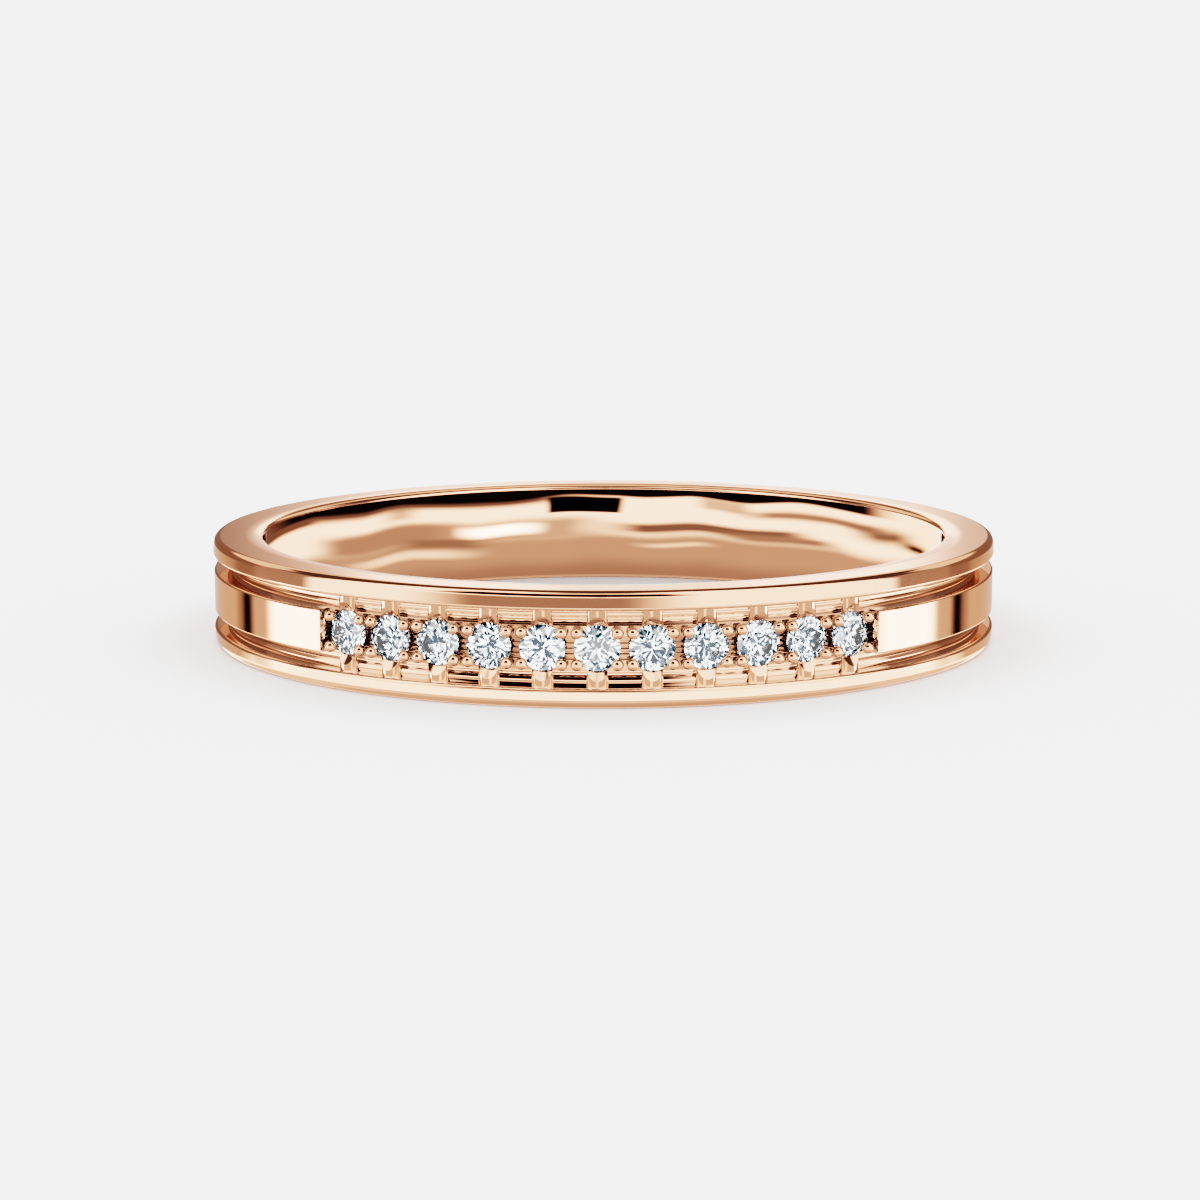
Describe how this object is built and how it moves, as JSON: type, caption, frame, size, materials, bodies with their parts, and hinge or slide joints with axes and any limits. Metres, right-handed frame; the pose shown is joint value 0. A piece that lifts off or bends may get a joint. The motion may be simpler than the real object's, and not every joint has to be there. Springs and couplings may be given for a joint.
{
  "type": "wedding band",
  "caption": "Slim polished rose gold wedding band with two stepped grooves, a flat centre band and a front row of small bead-set round brilliants.",
  "frame": {"origin": "middle of the finger hole: on its axis, half way along the band's width", "axes": "+Z along the finger hole, out of the upper rail; -Y towards the middle stone of the row; +X to the right as the row is faced"},
  "size_m": [0.0188, 0.0188, 0.0026],
  "materials": {
    "rose_gold_polished": "mirror polished 14 carat rose gold",
    "rose_gold_cut": "bright-cut and burnished 14 carat rose gold",
    "diamond": "faceted, colourless"
  },
  "bodies": {
    "root": {"sleeve": "rose_gold_polished", "upper_rail": "rose_gold_polished", "lower_rail": "rose_gold_polished", "upper_step_wire": "rose_gold_polished", "lower_step_wire": "rose_gold_polished", "centre_band": "rose_gold_polished", "stone_deck": "rose_gold_cut", "collet_01": "rose_gold_cut", "beads_01": "rose_gold_cut", "diamond_01": "diamond", "collet_02": "rose_gold_cut", "beads_02": "rose_gold_cut", "diamond_02": "diamond", "collet_03": "rose_gold_cut", "beads_03": "rose_gold_cut", "diamond_03": "diamond", "collet_04": "rose_gold_cut", "beads_04": "rose_gold_cut", "diamond_04": "diamond", "collet_05": "rose_gold_cut", "beads_05": "rose_gold_cut", "diamond_05": "diamond", "collet_06": "rose_gold_cut", "beads_06": "rose_gold_cut", "diamond_06": "diamond", "collet_07": "rose_gold_cut", "beads_07": "rose_gold_cut", "diamond_07": "diamond", "collet_08": "rose_gold_cut", "beads_08": "rose_gold_cut", "diamond_08": "diamond", "collet_09": "rose_gold_cut", "beads_09": "rose_gold_cut", "diamond_09": "diamond", "collet_10": "rose_gold_cut", "beads_10": "rose_gold_cut", "diamond_10": "diamond", "collet_11": "rose_gold_cut", "beads_11": "rose_gold_cut", "diamond_11": "diamond"}
  },
  "joints": []
}
